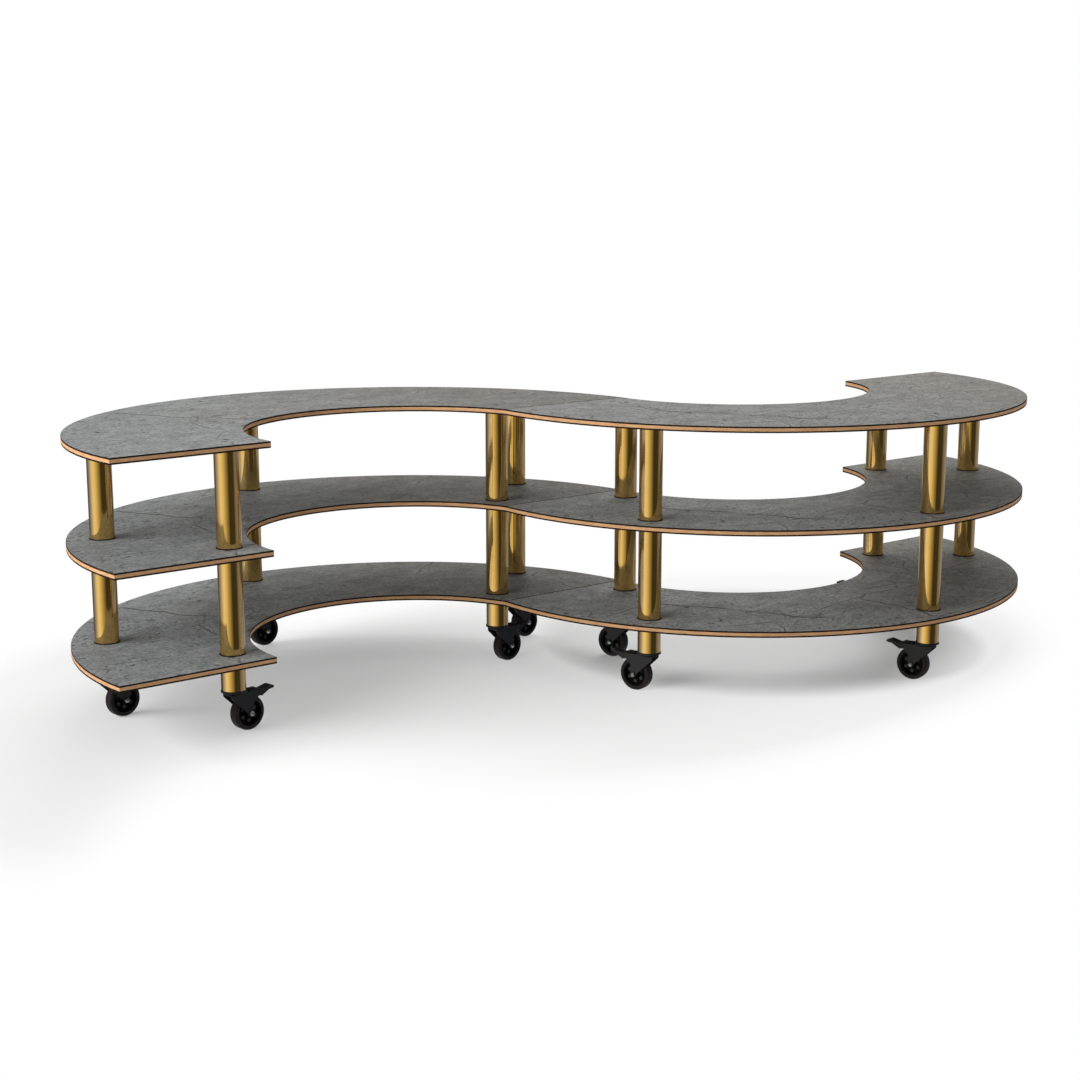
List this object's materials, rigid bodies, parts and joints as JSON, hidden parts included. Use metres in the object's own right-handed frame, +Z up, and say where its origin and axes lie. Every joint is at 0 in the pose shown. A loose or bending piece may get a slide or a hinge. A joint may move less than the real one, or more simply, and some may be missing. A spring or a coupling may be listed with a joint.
{
  "type": "buffet serving station",
  "caption": "Serpentine buffet serving station: curved stone-faced shelves in tiers on round brass-finished posts, rolling on braked swivel casters.",
  "frame": {"origin": "on the floor, midway between the centres of the two half-ring units, which is the middle of the base of the overall box", "axes": "+X along the long axis from the left unit to the right unit, +Y towards the side that the left unit bulges to, +Z up"},
  "size_m": [3.545, 2.036, 0.9],
  "materials": {
    "wood_core": "cut plywood edge, clear sealed",
    "stone_facing": "stone-look laminate, low sheen, black cut edge",
    "brass_tube": "polished, gold tone",
    "gasket_rubber": "matte dark brown-black",
    "dark_steel": "blackened",
    "plain_steel": "zinc plated",
    "black_caster_metal": "black powder coat, satin",
    "wheel_core_plastic": "black moulded",
    "tyre_rubber": "black rubber, smooth tread",
    "pedal_plastic": "black moulded, satin"
  },
  "bodies": {
    "station": {"left_top_shelf_core": "wood_core", "left_middle_shelf_core": "wood_core", "left_bottom_shelf_core": "wood_core", "right_top_shelf_core": "wood_core", "right_middle_shelf_core": "wood_core", "right_bottom_shelf_core": "wood_core", "left_upper_facings": "stone_facing", "left_lower_facings": "stone_facing", "right_upper_facings": "stone_facing", "right_lower_facings": "stone_facing", "upper_posts": "brass_tube", "lower_posts": "brass_tube", "leg_tubes": "brass_tube", "post_gaskets": "gasket_rubber", "tie_rods": "dark_steel", "foot_plugs": "black_caster_metal", "caster_plates": "black_caster_metal", "caster_stems": "plain_steel"},
    "caster_01_swivel_frame": {"caster_01_fork": "black_caster_metal"},
    "caster_01_wheel": {"caster_01_wheel_core": "wheel_core_plastic", "caster_01_tyre": "tyre_rubber"},
    "caster_01_brake_lever": {"caster_01_pedal": "pedal_plastic"},
    "caster_02_swivel_frame": {"caster_02_fork": "black_caster_metal"},
    "caster_02_wheel": {"caster_02_wheel_core": "wheel_core_plastic", "caster_02_tyre": "tyre_rubber"},
    "caster_02_brake_lever": {"caster_02_pedal": "pedal_plastic"},
    "caster_03_swivel_frame": {"caster_03_fork": "black_caster_metal"},
    "caster_03_wheel": {"caster_03_wheel_core": "wheel_core_plastic", "caster_03_tyre": "tyre_rubber"},
    "caster_03_brake_lever": {"caster_03_pedal": "pedal_plastic"},
    "caster_04_swivel_frame": {"caster_04_fork": "black_caster_metal"},
    "caster_04_wheel": {"caster_04_wheel_core": "wheel_core_plastic", "caster_04_tyre": "tyre_rubber"},
    "caster_04_brake_lever": {"caster_04_pedal": "pedal_plastic"},
    "caster_05_swivel_frame": {"caster_05_fork": "black_caster_metal"},
    "caster_05_wheel": {"caster_05_wheel_core": "wheel_core_plastic", "caster_05_tyre": "tyre_rubber"},
    "caster_05_brake_lever": {"caster_05_pedal": "pedal_plastic"},
    "caster_06_swivel_frame": {"caster_06_fork": "black_caster_metal"},
    "caster_06_wheel": {"caster_06_wheel_core": "wheel_core_plastic", "caster_06_tyre": "tyre_rubber"},
    "caster_06_brake_lever": {"caster_06_pedal": "pedal_plastic"},
    "caster_07_swivel_frame": {"caster_07_fork": "black_caster_metal"},
    "caster_07_wheel": {"caster_07_wheel_core": "wheel_core_plastic", "caster_07_tyre": "tyre_rubber"},
    "caster_07_brake_lever": {"caster_07_pedal": "pedal_plastic"},
    "caster_08_swivel_frame": {"caster_08_fork": "black_caster_metal"},
    "caster_08_wheel": {"caster_08_wheel_core": "wheel_core_plastic", "caster_08_tyre": "tyre_rubber"},
    "caster_08_brake_lever": {"caster_08_pedal": "pedal_plastic"},
    "caster_09_swivel_frame": {"caster_09_fork": "black_caster_metal"},
    "caster_09_wheel": {"caster_09_wheel_core": "wheel_core_plastic", "caster_09_tyre": "tyre_rubber"},
    "caster_09_brake_lever": {"caster_09_pedal": "pedal_plastic"},
    "caster_10_swivel_frame": {"caster_10_fork": "black_caster_metal"},
    "caster_10_wheel": {"caster_10_wheel_core": "wheel_core_plastic", "caster_10_tyre": "tyre_rubber"},
    "caster_10_brake_lever": {"caster_10_pedal": "pedal_plastic"}
  },
  "joints": [
    {"name": "caster_01_swivel", "type": "hinge", "parent": "station", "child": "caster_01_swivel_frame", "pos_m": [-1.56366, 0.41691, 0.121], "axis": [0, 0, 1], "continuous": true},
    {"name": "caster_01_roll", "type": "hinge", "parent": "caster_01_swivel_frame", "child": "caster_01_wheel", "pos_m": [-1.51784, 0.42092, 0.0545], "axis": [-0.0872, 0.9962, 0], "continuous": true},
    {"name": "caster_01_brake", "type": "hinge", "parent": "caster_01_swivel_frame", "child": "caster_01_brake_lever", "pos_m": [-1.49592, 0.42284, 0.116], "axis": [-0.0872, 0.9962, 0], "range_deg": [0, 12]},
    {"name": "caster_02_swivel", "type": "hinge", "parent": "station", "child": "caster_02_swivel_frame", "pos_m": [-0.75591, 0.909, 0.121], "axis": [0, 0, 1], "continuous": true},
    {"name": "caster_02_roll", "type": "hinge", "parent": "caster_02_swivel_frame", "child": "caster_02_wheel", "pos_m": [-0.71009, 0.91301, 0.0545], "axis": [-0.0872, 0.9962, 0], "continuous": true},
    {"name": "caster_02_brake", "type": "hinge", "parent": "caster_02_swivel_frame", "child": "caster_02_brake_lever", "pos_m": [-0.68817, 0.91493, 0.116], "axis": [-0.0872, 0.9962, 0], "range_deg": [0, 12]},
    {"name": "caster_03_swivel", "type": "hinge", "parent": "station", "child": "caster_03_swivel_frame", "pos_m": [0.05184, 0.41691, 0.121], "axis": [0, 0, 1], "continuous": true},
    {"name": "caster_03_roll", "type": "hinge", "parent": "caster_03_swivel_frame", "child": "caster_03_wheel", "pos_m": [0.09767, 0.42092, 0.0545], "axis": [-0.0872, 0.9962, 0], "continuous": true},
    {"name": "caster_03_brake", "type": "hinge", "parent": "caster_03_swivel_frame", "child": "caster_03_brake_lever", "pos_m": [0.11958, 0.42284, 0.116], "axis": [-0.0872, 0.9962, 0], "range_deg": [0, 12]},
    {"name": "caster_04_swivel", "type": "hinge", "parent": "station", "child": "caster_04_swivel_frame", "pos_m": [-1.33632, 0.043, 0.121], "axis": [0, 0, 1], "continuous": true},
    {"name": "caster_04_roll", "type": "hinge", "parent": "caster_04_swivel_frame", "child": "caster_04_wheel", "pos_m": [-1.2905, 0.04701, 0.0545], "axis": [-0.0872, 0.9962, 0], "continuous": true},
    {"name": "caster_04_brake", "type": "hinge", "parent": "caster_04_swivel_frame", "child": "caster_04_brake_lever", "pos_m": [-1.26858, 0.04893, 0.116], "axis": [-0.0872, 0.9962, 0], "range_deg": [0, 12]},
    {"name": "caster_05_swivel", "type": "hinge", "parent": "station", "child": "caster_05_swivel_frame", "pos_m": [-0.20614, 0.191, 0.121], "axis": [0, 0, 1], "continuous": true},
    {"name": "caster_05_roll", "type": "hinge", "parent": "caster_05_swivel_frame", "child": "caster_05_wheel", "pos_m": [-0.16032, 0.19501, 0.0545], "axis": [-0.0872, 0.9962, 0], "continuous": true},
    {"name": "caster_05_brake", "type": "hinge", "parent": "caster_05_swivel_frame", "child": "caster_05_brake_lever", "pos_m": [-0.1384, 0.19693, 0.116], "axis": [-0.0872, 0.9962, 0], "range_deg": [0, 12]},
    {"name": "caster_06_swivel", "type": "hinge", "parent": "station", "child": "caster_06_swivel_frame", "pos_m": [-0.05184, -0.41691, 0.121], "axis": [0, 0, 1], "continuous": true},
    {"name": "caster_06_roll", "type": "hinge", "parent": "caster_06_swivel_frame", "child": "caster_06_wheel", "pos_m": [-0.06452, -0.37269, 0.0545], "axis": [-0.9613, -0.2756, 0], "continuous": true},
    {"name": "caster_06_brake", "type": "hinge", "parent": "caster_06_swivel_frame", "child": "caster_06_brake_lever", "pos_m": [-0.07058, -0.35155, 0.116], "axis": [-0.9613, -0.2756, 0], "range_deg": [0, 12]},
    {"name": "caster_07_swivel", "type": "hinge", "parent": "station", "child": "caster_07_swivel_frame", "pos_m": [0.75591, -0.909, 0.121], "axis": [0, 0, 1], "continuous": true},
    {"name": "caster_07_roll", "type": "hinge", "parent": "caster_07_swivel_frame", "child": "caster_07_wheel", "pos_m": [0.74323, -0.86478, 0.0545], "axis": [-0.9613, -0.2756, 0], "continuous": true},
    {"name": "caster_07_brake", "type": "hinge", "parent": "caster_07_swivel_frame", "child": "caster_07_brake_lever", "pos_m": [0.73717, -0.84363, 0.116], "axis": [-0.9613, -0.2756, 0], "range_deg": [0, 12]},
    {"name": "caster_08_swivel", "type": "hinge", "parent": "station", "child": "caster_08_swivel_frame", "pos_m": [1.56366, -0.41691, 0.121], "axis": [0, 0, 1], "continuous": true},
    {"name": "caster_08_roll", "type": "hinge", "parent": "caster_08_swivel_frame", "child": "caster_08_wheel", "pos_m": [1.55099, -0.37269, 0.0545], "axis": [-0.9613, -0.2756, 0], "continuous": true},
    {"name": "caster_08_brake", "type": "hinge", "parent": "caster_08_swivel_frame", "child": "caster_08_brake_lever", "pos_m": [1.54492, -0.35155, 0.116], "axis": [-0.9613, -0.2756, 0], "range_deg": [0, 12]},
    {"name": "caster_09_swivel", "type": "hinge", "parent": "station", "child": "caster_09_swivel_frame", "pos_m": [0.1755, -0.043, 0.121], "axis": [0, 0, 1], "continuous": true},
    {"name": "caster_09_roll", "type": "hinge", "parent": "caster_09_swivel_frame", "child": "caster_09_wheel", "pos_m": [0.16282, 0.00122, 0.0545], "axis": [-0.9613, -0.2756, 0], "continuous": true},
    {"name": "caster_09_brake", "type": "hinge", "parent": "caster_09_swivel_frame", "child": "caster_09_brake_lever", "pos_m": [0.15676, 0.02237, 0.116], "axis": [-0.9613, -0.2756, 0], "range_deg": [0, 12]},
    {"name": "caster_10_swivel", "type": "hinge", "parent": "station", "child": "caster_10_swivel_frame", "pos_m": [1.30568, -0.191, 0.121], "axis": [0, 0, 1], "continuous": true},
    {"name": "caster_10_roll", "type": "hinge", "parent": "caster_10_swivel_frame", "child": "caster_10_wheel", "pos_m": [1.293, -0.14678, 0.0545], "axis": [-0.9613, -0.2756, 0], "continuous": true},
    {"name": "caster_10_brake", "type": "hinge", "parent": "caster_10_swivel_frame", "child": "caster_10_brake_lever", "pos_m": [1.28693, -0.12563, 0.116], "axis": [-0.9613, -0.2756, 0], "range_deg": [0, 12]}
  ]
}
